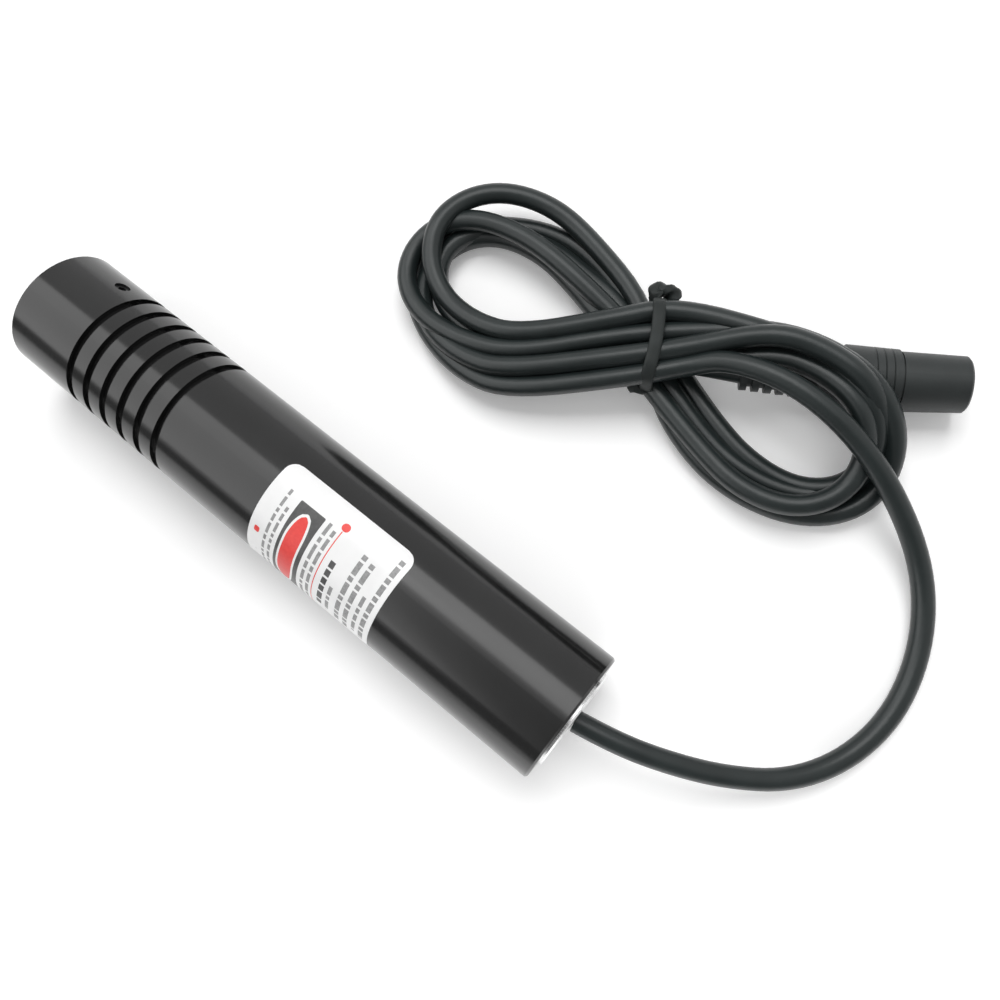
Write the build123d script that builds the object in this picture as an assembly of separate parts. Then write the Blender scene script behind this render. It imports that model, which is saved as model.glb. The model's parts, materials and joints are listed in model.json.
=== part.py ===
from build123d import *
import os
from math import asin, cos, degrees, pi, radians, sin, sqrt, tan

# A laser diode module lying on its side with its supply lead wound beside it.
# Lengths are in millimetres and angles in degrees. The beam leaves along +X, and Z is up.
# The origin is under the middle of the barrel, on the surface that it lies on.

# Clearances that pieces share
slip_gap = 0.05
seat_gap = 0.30
cut_overrun = 1.0

# Barrel: one turned tube, closed at its front by a lip round the beam aperture
barrel_radius = 13.0
barrel_length = 133.4
wall_thickness = 3.0
barrel_chamfer = 0.4
lip_thickness = 2.0
aperture_radius = 6.5
aperture_chamfer = 0.5
head_band = 16.7
groove_count = 6
groove_width = 1.7
groove_pitch = 4.76
groove_depth = 1.1

# Grub screw that locks the optics, in a radial hole through the head band
screw_radius = 1.45
screw_hole_radius = 1.5
screw_length = 3.0
screw_from_front = 12.1
screw_angle = -58.7
screw_socket_width = 1.5
screw_socket_depth = 1.2
screw_point_chamfer = 0.4

# Optics holder, and the threaded bore in it that takes the lens cell
holder_seat_depth = 0.5
holder_chamfer = 0.5
flare_depth = 4.0
cell_radius = 4.45
cell_bore_radius = 4.5
cell_length = 8.0
cell_setback = 0.5
cell_lip = 1.0
cell_slot_width = 1.0
cell_slot_depth = 0.8
spring_space = 3.5
diode_wall = 2.0
holder_tail = 3.5

# Lens, the ring behind it, and the spring that takes up the cell's play
lens_radius = 3.25
lens_edge = 1.4
lens_crown = 0.7
lens_seat_width = 0.6
lens_ring_length = 1.2
spring_radius = 3.7
spring_wire_radius = 0.25
spring_turns = 3

# Laser diode
diode_base_radius = 2.8
diode_base_thickness = 1.2
diode_cap_radius = 2.35
diode_cap_length = 2.3
diode_cap_wall = 0.2
diode_window_radius = 0.9
diode_glass_margin = 0.25
diode_glass_thickness = 0.25
diode_post_width = 1.2
diode_post_length = 1.4
pin_radius = 0.225
pin_circle_radius = 1.27
pin_length = 6.5
ring_bore_radius = 2.0
ring_radius = 4.15
ring_length = 2.0

# Driver board and what is soldered to it
board_length = 46.0
board_thickness = 1.2
board_setback = 0.8
pin_seat_gap = 0.04
solder_gap = 0.02
chip_length = 4.9
chip_width = 3.9
chip_height = 1.5
chip_legs = 4
chip_leg_width = 0.42
chip_leg_reach = 1.0
chip_leg_thickness = 0.2
transistor_length = 6.6
transistor_width = 6.1
transistor_height = 2.3
transistor_tab_length = 1.1
transistor_tab_thickness = 0.5
capacitor_radius = 2.5
capacitor_height = 5.4
capacitor_foot_width = 5.3
capacitor_foot_height = 0.9
capacitor_waist_radius = 2.3
trimmer_width = 4.5
trimmer_height = 1.9
trimmer_dial_radius = 1.7
trimmer_dial_height = 0.4
trimmer_slot_width = 0.5
inductor_radius = 3.0
inductor_height = 2.8
inductor_flange = 0.5
inductor_winding_radius = 2.4
resistor_length = 2.0
resistor_width = 1.25
resistor_height = 0.5
resistor_pitch = 2.6
resistor_columns = 3
resistor_row_gap = 3.2

# Places along the board, as shares of its length from its front end
front_place_share = 0.14
chip_place_share = 0.30
resistor_place_share = 0.42
transistor_place_share = 0.52
capacitor_place_shares = (0.70, 0.85)

# Rear plug of bare metal
plug_rim_step = 0.25
plug_proud = 0.7
plug_inner_length = 4.5
plug_chamfer = 0.3
plug_hole_clearance = 0.1

# Supply lead: a round two-core cord, its clamp behind the plug and its two wires
cord_radius = 2.05
cord_inner_length = 12.0
collar_radius = 3.4
collar_length = 4.0
wire_radius = 0.65
wire_spread = 0.75
wire_pad_spread = 3.0
wire_bend_radius = 4.0
wire_run_share = 0.5

# Label film wrapped round the barrel
label_from_rear = 36.7
label_length = 29.9
label_thickness = 0.08
label_glue = 0.01
label_corner_radius = 2.4
label_start_angle = -27.0
label_wrap_angle = 137.0

# Hank: a figure of eight with one loop toward the head and one toward the socket
hank_centre_x = -35.35
hank_centre_y = -64.5
head_loop_reach = 54.6
head_loop_span = 46.5
head_loop_height = 12.3
socket_loop_reach = 52.5
socket_loop_span = 36.5
socket_loop_high = 17.0
socket_loop_low = 8.2
hank_fillet = 1.8
waist_width = 18.2
waist_length = 12.0
waist_height = 15.0
waist_floor_gap = 0.85
waist_fillet = 3.5

# Outlines of the two loops and of the openings in them, as shares of a loop's reach and span
head_outline_shares = [
    (-0.06, -0.17),
    (0.08, -0.225),
    (0.275, -0.292),
    (0.568, -0.348),
    (0.824, -0.258),
    (1.0, 0.032),
    (0.985, 0.275),
    (0.879, 0.484),
    (0.714, 0.609),
    (0.531, 0.652),
    (0.311, 0.581),
    (0.128, 0.398),
    (-0.04, 0.2),
    (-0.1, 0.0),
]
head_opening_shares = [
    (0.77, 0.22),
    (0.74, 0.05),
    (0.65, -0.06),
    (0.46, -0.05),
    (0.31, 0.01),
    (0.44, 0.17),
    (0.62, 0.27),
]
socket_outline_shares = [
    (-0.06, -0.22),
    (0.095, -0.33),
    (0.286, -0.425),
    (0.495, -0.48),
    (0.724, -0.466),
    (0.914, -0.342),
    (1.0, -0.15),
    (0.998, 0.09),
    (0.895, 0.27),
    (0.686, 0.39),
    (0.476, 0.41),
    (0.267, 0.34),
    (0.04, 0.27),
    (-0.09, 0.0),
]
socket_opening_shares = [
    (0.2, -0.04),
    (0.343, -0.11),
    (0.577, -0.15),
    (0.762, -0.115),
    (0.815, -0.014),
    (0.752, 0.063),
    (0.585, 0.085),
    (0.349, 0.03),
]

# Twist tie round the hank's waist
tie_angle = 18.4
tie_width = 3.0
tie_thickness = 0.7
tie_gap = 0.06
tie_tail_length = 7.0
tie_tail_width = 2.4
tie_tail_thickness = 1.1
tie_tail_height_share = 0.72
tie_tail_steps = 4
tie_tail_twist = 180.0
tie_tail_flare = 6.0

# Socket on the lead's end: moulded shell with grip and ribbed strain relief, from mouth to tail
socket_mouth_x = -86.4
socket_mouth_y = -91.9
socket_heading = 32.5
shell_mouth_radius = 5.2
shell_nose_radius = 5.6
shell_nose_length = 11.8
shell_mouth_chamfer = 0.4
shell_step_width = 0.4
shell_step_depth = 0.3
grip_front_radius = 5.95
grip_rear_radius = 6.5
grip_length = 9.3
grip_ring_count = 3
grip_ring_pitch = 1.5
grip_ring_depth = 0.15
grip_taper_length = 1.4
grip_taper_radius = 5.6
neck_length = 3.6
neck_radius = 4.1
rib_count = 6
rib_pitch = 2.3
rib_width = 1.3
rib_depth = 0.75
rib_tail_radius = 3.0
insert_radius = 4.1
insert_setback = 0.8
insert_length = 13.2
insert_bore_radius = 3.1
insert_bore_depth = 9.8
contact_thickness = 0.25
contact_setback = 1.2
contact_slot_width = 0.8
centre_pin_radius = 1.05
centre_pin_setback = 1.6
centre_pin_shank_radius = 0.8
shell_floor_gap = 0.1

# Lead's route from the plug's outer face to the hank, chosen point by point, and how much
# of a corner's shorter run its arc takes up
lead_bend_share = 0.45
lead_route = [
    (-74.0, -1.2, 12.7),
    (-83.0, -3.9, 11.2),
    (-93.2, -8.2, 8.0),
    (-102.8, -14.6, 4.8),
    (-109.0, -24.2, 2.5),
    (-110.9, -35.8, 2.05),
    (-108.1, -48.0, 2.05),
    (-101.6, -58.2, 3.4),
    (-91.4, -65.2, 7.6),
    (-78.0, -69.5, 12.5),
]

# Places that follow from the sizes above
rear_rim_x = -(barrel_length - plug_proud) / 2
front_x = rear_rim_x + barrel_length
axis_z = barrel_radius
bore_radius = barrel_radius - wall_thickness
plug_radius = bore_radius - plug_rim_step
plug_face_x = rear_rim_x - plug_proud
holder_front_x = front_x - lip_thickness
holder_radius = bore_radius - slip_gap
cell_front_x = holder_front_x - flare_depth - cell_setback
cell_rear_x = cell_front_x - cell_length
shoulder_x = cell_rear_x - spring_space
diode_seat_x = shoulder_x - diode_wall
diode_rear_x = diode_seat_x - diode_base_thickness
holder_rear_x = diode_seat_x - holder_tail
board_front_x = holder_rear_x - board_setback
board_bottom = -pin_circle_radius / 2 + pin_radius + pin_seat_gap
board_top = board_bottom + board_thickness
board_half_width = sqrt((bore_radius - seat_gap) ** 2 - max(abs(board_top), abs(board_bottom)) ** 2)
solder_top = board_top + solder_gap
cell_aperture_radius = lens_radius - lens_seat_width
screw_x = front_x - screw_from_front
screw_inner_radius = holder_radius - holder_seat_depth + slip_gap


def turned(profile):
    """A solid turned about the barrel's axis from (x, radius) corners."""
    corners = [(x, 0, radius) for x, radius in profile]
    face = make_face(Polyline(*corners, close=True))
    return Pos(0, 0, axis_z) * revolve(face, Axis.X)


def tube(x_rear, x_front, outer, inner):
    """A plain ring or tube on the barrel's axis."""
    return turned([(x_rear, inner), (x_front, inner), (x_front, outer), (x_rear, outer)])


def rod(x_rear, x_front, radius):
    """A plain rod on the barrel's axis."""
    return turned([(x_rear, 0), (x_front, 0), (x_front, radius), (x_rear, radius)])


def block(x, y, z_low, length, width, height):
    """A box centred on x and y that stands on z_low, measured from the barrel's axis."""
    place = Pos(x, y, axis_z + z_low)
    return place * Box(length, width, height, align=(Align.CENTER, Align.CENTER, Align.MIN))


def post(x, y, z_low, radius, height):
    """A round post that stands on z_low, measured from the barrel's axis."""
    place = Pos(x, y, axis_z + z_low)
    return place * Cylinder(radius, height, align=(Align.CENTER, Align.CENTER, Align.MIN))


def radial(x, angle):
    """A plane on the barrel's axis whose Z points outward at that angle from the top."""
    outward = (0, sin(radians(angle)), cos(radians(angle)))
    return Plane(origin=(x, 0, axis_z), x_dir=(1, 0, 0), z_dir=outward)


def housing():
    """The barrel: cooling grooves outside, a long bore and a front lip inside."""
    profile = [
        (rear_rim_x, bore_radius),
        (rear_rim_x, barrel_radius - barrel_chamfer),
        (rear_rim_x + barrel_chamfer, barrel_radius),
    ]
    first_groove = front_x - head_band - groove_width - (groove_count - 1) * groove_pitch
    groove_floor = barrel_radius - groove_depth
    for number in range(groove_count):
        groove_x = first_groove + number * groove_pitch
        profile += [
            (groove_x, barrel_radius),
            (groove_x, groove_floor),
            (groove_x + groove_width, groove_floor),
            (groove_x + groove_width, barrel_radius),
        ]
    profile += [
        (front_x - barrel_chamfer, barrel_radius),
        (front_x, barrel_radius - barrel_chamfer),
        (front_x, aperture_radius + aperture_chamfer),
        (front_x - aperture_chamfer, aperture_radius),
        (holder_front_x, aperture_radius),
        (holder_front_x, bore_radius),
    ]
    hole_length = barrel_radius - aperture_radius
    upward = (Align.CENTER, Align.CENTER, Align.MIN)
    hole = Pos(0, 0, aperture_radius + cut_overrun) * Cylinder(screw_hole_radius, hole_length, align=upward)
    return turned(profile) - radial(screw_x, screw_angle) * hole


def grub_screw():
    """A socket set screw with a chamfered point, deep in its hole."""
    upward = (Align.CENTER, Align.CENTER, Align.MIN)
    screw = Cylinder(screw_radius, screw_length, align=upward)
    screw = chamfer(screw.edges().group_by(Axis.Z)[0], screw_point_chamfer)
    key = extrude(RegularPolygon(screw_socket_width / 2, 6, major_radius=False), screw_socket_depth)
    screw -= Pos(0, 0, screw_length - screw_socket_depth) * key
    return radial(screw_x, screw_angle) * Pos(0, 0, screw_inner_radius) * screw


def optics_holder():
    """The turned holder: flared mouth, bore for the lens cell, seat for the diode from behind."""
    seat_half = screw_hole_radius + slip_gap
    seat_radius = holder_radius - holder_seat_depth
    ring_bore = ring_radius + slip_gap
    return turned(
        [
            (holder_front_x, aperture_radius),
            (holder_front_x - flare_depth, cell_bore_radius),
            (shoulder_x, cell_bore_radius),
            (shoulder_x, diode_cap_radius + seat_gap),
            (diode_seat_x, diode_cap_radius + seat_gap),
            (diode_seat_x, diode_base_radius + slip_gap),
            (diode_rear_x, diode_base_radius + slip_gap),
            (diode_rear_x, ring_bore),
            (holder_rear_x, ring_bore),
            (holder_rear_x, holder_radius - holder_chamfer),
            (holder_rear_x + holder_chamfer, holder_radius),
            (screw_x - seat_half, holder_radius),
            (screw_x - seat_half, seat_radius),
            (screw_x + seat_half, seat_radius),
            (screw_x + seat_half, holder_radius),
            (holder_front_x - holder_chamfer, holder_radius),
            (holder_front_x, holder_radius - holder_chamfer),
        ]
    )


def lens_cell():
    """The threaded cell, with a lip in front of the lens and two slots for a pin spanner."""
    lens_bore = lens_radius + slip_gap
    cell = turned(
        [
            (cell_front_x, cell_aperture_radius),
            (cell_front_x - cell_lip, cell_aperture_radius),
            (cell_front_x - cell_lip, lens_bore),
            (cell_rear_x, lens_bore),
            (cell_rear_x, cell_radius),
            (cell_front_x, cell_radius),
        ]
    )
    slot_height = 2 * (cell_radius + cut_overrun)
    slot_x = cell_front_x - cell_slot_depth / 2 + cut_overrun / 2
    slot = block(slot_x, 0, -slot_height / 2, cell_slot_depth + cut_overrun, cell_slot_width, slot_height)
    return cell - slot


def collimating_lens():
    """A flat-backed lens with a crowned front inside its flat seating edge."""
    front = cell_front_x - cell_lip
    rear = front - lens_edge
    clear_radius = cell_aperture_radius - slip_gap
    ball_radius = (clear_radius**2 + lens_crown**2) / (2 * lens_crown)
    half_way = degrees(asin(clear_radius / ball_radius)) / 2
    sag = ball_radius * (1 - cos(radians(half_way)))
    crown = ThreePointArc(
        (front, 0, clear_radius),
        (front + lens_crown - sag, 0, ball_radius * sin(radians(half_way))),
        (front + lens_crown, 0, 0),
    )
    edge = Polyline(
        (front + lens_crown, 0, 0),
        (rear, 0, 0),
        (rear, 0, lens_radius),
        (front, 0, lens_radius),
        (front, 0, clear_radius),
    )
    return Pos(0, 0, axis_z) * revolve(make_face([crown, edge]), Axis.X)


def lens_ring():
    """The ring that holds the lens against the cell's lip."""
    front = cell_front_x - cell_lip - lens_edge
    return tube(front - lens_ring_length, front, lens_radius, cell_aperture_radius)


def focus_spring():
    """A coil spring between the lens cell and the shoulder behind it."""
    height = spring_space - 2 * spring_wire_radius - 2 * slip_gap
    helix = Helix(pitch=height / spring_turns, height=height, radius=spring_radius)
    section = Plane(origin=helix @ 0, z_dir=helix % 0) * Circle(spring_wire_radius)
    coil = sweep(section, path=helix)
    return Pos(shoulder_x + spring_wire_radius + slip_gap, 0, axis_z) * Rot(0, 90, 0) * coil


def diode_base():
    """The diode's round base, with the post inside the can that carries the chip."""
    base = rod(diode_rear_x, diode_seat_x, diode_base_radius)
    carrier_x = diode_seat_x + diode_post_length / 2
    carrier = block(carrier_x, 0, -diode_post_width, diode_post_length, diode_post_width, diode_post_width)
    return base + carrier


def diode_cap():
    """The can on the base, open at its front for the window."""
    cap_front = diode_seat_x + diode_cap_length
    inner = diode_cap_radius - diode_cap_wall
    return turned(
        [
            (diode_seat_x, inner),
            (cap_front - diode_cap_wall, inner),
            (cap_front - diode_cap_wall, diode_window_radius),
            (cap_front, diode_window_radius),
            (cap_front, diode_cap_radius),
            (diode_seat_x, diode_cap_radius),
        ]
    )


def diode_window():
    """The glass disc behind the can's opening."""
    front = diode_seat_x + diode_cap_length - diode_cap_wall
    return rod(front - diode_glass_thickness, front, diode_window_radius + diode_glass_margin)


def diode_pins():
    """Three pins behind the base: one above the board's edge and two below it."""
    pins = []
    for turn in range(3):
        angle = radians(90 + turn * 120)
        y = pin_circle_radius * cos(angle)
        z = axis_z + pin_circle_radius * sin(angle)
        pins.append(Pos(diode_rear_x, y, z) * Rot(0, -90, 0) * Cylinder(
            pin_radius, pin_length, align=(Align.CENTER, Align.CENTER, Align.MIN)
        ))
    return Compound(children=pins)


def diode_ring():
    """The threaded ring that clamps the diode's base in the holder."""
    return tube(diode_rear_x - ring_length, diode_rear_x, ring_radius, ring_bore_radius)


def board_x(share):
    """A place along the board, as a share of its length from its front end."""
    return board_front_x - share * board_length


def driver_board():
    """The board lies across the bore and is carried by its two long edges."""
    return block(board_x(1 / 2), 0, board_bottom, board_length, 2 * board_half_width, board_thickness)


def driver_chip():
    """An eight-legged driver chip."""
    x = board_x(chip_place_share)
    chip = block(x, 0, solder_top + chip_leg_thickness, chip_length, chip_width, chip_height)
    leg_pitch = chip_length / chip_legs
    leg_span = chip_width + 2 * chip_leg_reach
    for number in range(chip_legs):
        leg_x = x + (number - (chip_legs - 1) / 2) * leg_pitch
        chip += block(leg_x, 0, solder_top, chip_leg_width, leg_span, 2 * chip_leg_thickness)
    return chip


def power_transistor():
    """The pass transistor, with its metal tab toward the board's middle."""
    x = board_x(transistor_place_share)
    body = block(x, 0, solder_top, transistor_length, transistor_width, transistor_height)
    tab_x = x + (transistor_length + transistor_tab_length) / 2
    tab = block(tab_x, 0, solder_top, transistor_tab_length, transistor_width, transistor_tab_thickness)
    return body + tab


def capacitors():
    """Two upright cans on square feet."""
    cans = []
    for share in capacitor_place_shares:
        x = board_x(share)
        foot = block(x, 0, solder_top, capacitor_foot_width, capacitor_foot_width, capacitor_foot_height)
        waist_low = solder_top + capacitor_foot_height
        waist = post(x, 0, waist_low, capacitor_waist_radius, capacitor_foot_height)
        can_low = waist_low + capacitor_foot_height
        can = post(x, 0, can_low, capacitor_radius, capacitor_height - 2 * capacitor_foot_height)
        cans.append(foot + waist + can)
    return Compound(children=cans)


def trimmer():
    """The current trimmer, with a slotted dial on its top."""
    x = board_x(front_place_share)
    y = board_half_width / 2
    body = block(x, y, solder_top, trimmer_width, trimmer_width, trimmer_height)
    top = solder_top + trimmer_height
    body += post(x, y, top, trimmer_dial_radius, trimmer_dial_height)
    return body - block(x, y, top, 2 * trimmer_dial_radius, trimmer_slot_width, 2 * trimmer_dial_height)


def inductor():
    """A drum inductor: two flanges and the winding between them."""
    x = board_x(front_place_share)
    y = -board_half_width / 2
    drum = post(x, y, solder_top, inductor_radius, inductor_flange)
    winding_height = inductor_height - 2 * inductor_flange
    drum += post(x, y, solder_top + inductor_flange, inductor_winding_radius, winding_height)
    drum += post(x, y, solder_top + inductor_height - inductor_flange, inductor_radius, inductor_flange)
    return drum


def resistors():
    """Chip resistors in two short rows beside the driver chip."""
    chips = []
    for side in (-1, 1):
        for column in range(resistor_columns):
            x = board_x(resistor_place_share) + (column - (resistor_columns - 1) / 2) * resistor_pitch
            y = side * (chip_width / 2 + chip_leg_reach + resistor_row_gap - resistor_width)
            chips.append(block(x, y, solder_top, resistor_length, resistor_width, resistor_height))
    return Compound(children=chips)


def rear_plug():
    """A bare metal disc pressed into the rear of the bore, with a hole for the lead."""
    hole = cord_radius + plug_hole_clearance
    return turned(
        [
            (plug_face_x, hole),
            (plug_face_x, plug_radius - plug_chamfer),
            (plug_face_x + plug_chamfer, plug_radius),
            (rear_rim_x, plug_radius),
            (rear_rim_x, bore_radius - slip_gap),
            (rear_rim_x + plug_inner_length, bore_radius - slip_gap),
            (rear_rim_x + plug_inner_length, hole),
        ]
    )


def cord_root():
    """The lead's jacket through the plug and a little way into the barrel."""
    return rod(plug_face_x, rear_rim_x + cord_inner_length, cord_radius)


def cord_collar():
    """The crimped collar behind the plug that takes the lead's pull."""
    start = rear_rim_x + plug_inner_length
    return tube(start, start + collar_length, collar_radius, cord_radius + slip_gap)


def supply_wire(side):
    """One insulated wire, from the end of the jacket to its pad on the board's top."""
    start_x = rear_rim_x + cord_inner_length
    end_x = board_x(1) + transistor_tab_length
    middle_x = start_x + (end_x - start_x) * wire_run_share
    lift = solder_top + wire_radius
    corners = [
        (start_x, side * wire_spread, axis_z),
        (middle_x - wire_bend_radius, side * wire_spread, axis_z),
        (middle_x + wire_bend_radius, side * wire_pad_spread, axis_z + lift),
        (end_x, side * wire_pad_spread, axis_z + lift),
    ]
    path = FilletPolyline(*corners, radius=wire_bend_radius)
    section = Plane(origin=path @ 0, z_dir=path % 0) * Circle(wire_radius)
    return sweep(section, path=path)


def label_corner(x, angle, x_side, angle_side):
    """What is cut off one corner of the film: a square corner less a round one."""
    reach = label_corner_radius
    cut = 2 * reach
    square = Pos(x_side * cut / 2, angle_side * cut / 2) * Rectangle(cut, cut)
    corner = extrude(square - Circle(reach), 2 * label_thickness + label_glue)
    foot = barrel_radius * cos(reach / barrel_radius) - 2 * label_thickness
    return radial(x, angle) * Pos(0, 0, foot) * (corner + Pos(0, 0, 2 * label_thickness) * corner)


def label():
    """A thin film wrapped round the barrel, with rounded corners."""
    inner = barrel_radius + label_glue
    outer = inner + label_thickness
    rear = rear_rim_x + label_from_rear
    front = rear + label_length
    corners = [(rear, 0, inner), (front, 0, inner), (front, 0, outer), (rear, 0, outer)]
    film = revolve(make_face(Polyline(*corners, close=True)), Axis.X, label_wrap_angle)
    film = Pos(0, 0, axis_z) * Rot(-label_start_angle - label_wrap_angle, 0, 0) * film
    inset_angle = degrees(label_corner_radius / outer)
    end_angle = label_start_angle + label_wrap_angle
    for angle, angle_side in ((label_start_angle + inset_angle, -1), (end_angle - inset_angle, 1)):
        film -= label_corner(rear + label_corner_radius, angle, -1, angle_side)
        film -= label_corner(front - label_corner_radius, angle, 1, angle_side)
    return film


def loop_prism(shares, reach, span, height):
    """A prism on a smooth closed outline, given as shares of a loop's reach and span."""
    corners = [(hank_centre_x + x * reach, hank_centre_y + y * span) for x, y in shares]
    return extrude(make_face(Spline(*corners, periodic=True)), height)


def head_loop():
    """The loop toward the head, open in its middle."""
    loop = loop_prism(head_outline_shares, head_loop_reach, head_loop_span, head_loop_height)
    loop -= loop_prism(head_opening_shares, head_loop_reach, head_loop_span, head_loop_height)
    return fillet(loop.edges().group_by(Axis.Z)[-1], hank_fillet)


def socket_loop():
    """The loop toward the socket: its top slopes from the turns over the socket to the floor."""
    reach = -socket_loop_reach
    loop = loop_prism(socket_outline_shares, reach, socket_loop_span, socket_loop_high)
    loop -= loop_prism(socket_opening_shares, reach, socket_loop_span, socket_loop_high)
    high_y = hank_centre_y - socket_loop_span / 2
    slope = degrees((socket_loop_high - socket_loop_low) / socket_loop_span)
    upward = (Align.CENTER, Align.CENTER, Align.MIN)
    above = Box(3 * socket_loop_reach, 3 * socket_loop_span, socket_loop_high, align=upward)
    return loop - Pos(hank_centre_x, high_y, socket_loop_high) * Rot(-slope, 0, 0) * above


def waist_section(grow):
    """The rounded section of the hank where the tie goes round it, grown all round."""
    width = waist_width + 2 * grow
    height = waist_height - waist_floor_gap + 2 * grow
    return RectangleRounded(width, height, waist_fillet + grow)


def waist_plane(along):
    """A plane across the waist, at a distance along the tie's axis from its middle."""
    middle_z = (waist_height + waist_floor_gap) / 2
    direction = (cos(radians(tie_angle)), sin(radians(tie_angle)), 0)
    origin = (hank_centre_x + along * direction[0], hank_centre_y + along * direction[1], middle_z)
    across = (-direction[1], direction[0], 0)
    return Plane(origin=origin, x_dir=across, z_dir=direction)


def socket_place():
    """The socket's own frame: its X runs from the mouth to the tail."""
    return Pos(socket_mouth_x, socket_mouth_y, grip_rear_radius) * Rot(0, 0, socket_heading)


def shell_outline(grow):
    """The shell's outside from mouth to tail as (distance from mouth, radius), grown all round."""
    step = shell_nose_length + shell_step_width
    grip_end = step + grip_length
    taper_end = grip_end + grip_taper_length
    neck_end = taper_end + neck_length
    outline = [
        (0, shell_mouth_radius - shell_mouth_chamfer + grow),
        (shell_mouth_chamfer, shell_mouth_radius + grow),
        (shell_nose_length, shell_nose_radius + grow),
    ]
    step_radius = shell_nose_radius - shell_step_depth
    if grow == 0:
        outline += [(shell_nose_length, step_radius), (step, step_radius)]
    outline.append((step, grip_front_radius + grow))
    if grow == 0:
        for number in range(grip_ring_count):
            along = (number + 1) * grip_ring_pitch
            radius = grip_front_radius + (grip_rear_radius - grip_front_radius) * along / grip_length
            outline += [
                (step + along - grip_ring_depth, radius),
                (step + along, radius - grip_ring_depth),
                (step + along + grip_ring_depth, radius),
            ]
    outline += [
        (grip_end, grip_rear_radius + grow),
        (taper_end, grip_taper_radius + grow),
        (neck_end, neck_radius + grow),
    ]
    relief_length = rib_count * rib_pitch
    for number in range(rib_count):
        start = neck_end + number * rib_pitch
        radius = neck_radius + (rib_tail_radius - neck_radius) * (number + 1) / rib_count
        root = radius - rib_depth if grow == 0 else radius
        outline += [
            (start, root + grow),
            (start + rib_pitch - rib_width, root + grow),
            (start + rib_pitch - rib_width, radius + grow),
            (start + rib_pitch, radius + grow),
        ]
    return outline, neck_end + relief_length


def turned_on_socket(profile):
    """A solid turned about the socket's axis from (distance from mouth, radius) corners."""
    face = make_face(Polyline(*[(x, 0, radius) for x, radius in profile], close=True))
    return socket_place() * revolve(face, Axis.X)


def without_repeats(profile):
    """The profile's corners with any corner that repeats the one before it taken out."""
    kept = [profile[0]]
    for corner in profile[1:]:
        if corner != kept[-1]:
            kept.append(corner)
    return kept


def jack_shell():
    """The moulded shell, hollow at its mouth for the insulating core."""
    outline, tail = shell_outline(0)
    pocket = insert_setback + insert_length + shell_floor_gap
    hollow = [(pocket, 0), (pocket, insert_radius + slip_gap), (0, insert_radius + slip_gap)]
    return turned_on_socket(without_repeats([(tail, 0)] + hollow + outline))


def jack_insert():
    """The insulating core, bored for the mating plug."""
    end = insert_setback + insert_length
    floor = insert_setback + insert_bore_depth
    return turned_on_socket(
        [
            (insert_setback, insert_bore_radius),
            (insert_setback, insert_radius),
            (end, insert_radius),
            (end, centre_pin_shank_radius + slip_gap),
            (floor, centre_pin_shank_radius + slip_gap),
            (floor, insert_bore_radius),
        ]
    )


def jack_sleeve():
    """The outer contact: a split tube that lines the core's bore."""
    outer = insert_bore_radius - slip_gap
    start = insert_setback + contact_setback
    end = insert_setback + insert_bore_depth
    inner = outer - contact_thickness
    sleeve = turned_on_socket([(start, inner), (start, outer), (end, outer), (end, inner)])
    slot = Box(2 * (end - start), contact_slot_width, outer, align=(Align.CENTER, Align.CENTER, Align.MIN))
    return sleeve - socket_place() * Pos(start, 0, 0) * slot


def jack_pin():
    """The centre contact, with a rounded tip and a shank through the core's floor."""
    tip = insert_setback + centre_pin_setback
    floor = insert_setback + insert_bore_depth
    end = insert_setback + insert_length
    shoulder = tip + centre_pin_radius
    dome = ThreePointArc(
        (tip, 0, 0),
        (shoulder - centre_pin_radius * cos(pi / 4), 0, centre_pin_radius * sin(pi / 4)),
        (shoulder, 0, centre_pin_radius),
    )
    stem = Polyline(
        (shoulder, 0, centre_pin_radius),
        (floor, 0, centre_pin_radius),
        (floor, 0, centre_pin_shank_radius),
        (end, 0, centre_pin_shank_radius),
        (end, 0, 0),
        (tip, 0, 0),
    )
    return socket_place() * revolve(make_face([dome, stem]), Axis.X)


def cord_hank():
    """The outer shape of the wound cord, with room for the socket that lies under its turns."""
    waist = extrude(waist_plane(0) * waist_section(0), waist_length / 2, both=True)
    hank = head_loop() + socket_loop() + waist
    belt = extrude(waist_plane(0) * waist_section(waist_length), tie_width, both=True)
    core = extrude(waist_plane(0) * waist_section(0), tie_width, both=True)
    hank -= belt - core
    outline, tail = shell_outline(seat_gap)
    mouth = [(tail, 0), (-cut_overrun, 0), (-cut_overrun, outline[0][1])]
    return hank - turned_on_socket(mouth + without_repeats(outline))


def cord_tie():
    """The strap round the waist, with the twisted ends standing off its near side."""
    outer = extrude(waist_plane(0) * waist_section(tie_gap + tie_thickness), tie_width / 2, both=True)
    inner = extrude(waist_plane(0) * waist_section(tie_gap), tie_width, both=True)
    strap = outer - inner
    side = -(waist_width / 2 + tie_gap + tie_tail_thickness / 2)
    height = (tie_tail_height_share - 1 / 2) * waist_height
    sections = []
    for step in range(tie_tail_steps + 1):
        share = step / tie_tail_steps
        place = waist_plane(-share * tie_tail_length) * Pos(side - share * tie_tail_flare, height, 0)
        turn = Rot(0, 0, share * tie_tail_twist)
        sections.append(place * turn * Rectangle(tie_tail_thickness, tie_tail_width))
    return strap + loft(sections)


def lead_points():
    """The whole route of the free lead, starting at the plug's outer face."""
    return [Vector(plug_face_x, 0, axis_z)] + [Vector(*point) for point in lead_route]


def lead_radii(points):
    """The largest arc that fits each corner of the route."""
    radii = []
    for before, corner, after in zip(points, points[1:], points[2:]):
        turn = radians((corner - before).get_angle(after - corner))
        run = min((corner - before).length, (after - corner).length)
        radii.append(lead_bend_share * run / tan(turn / 2))
    return radii


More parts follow.
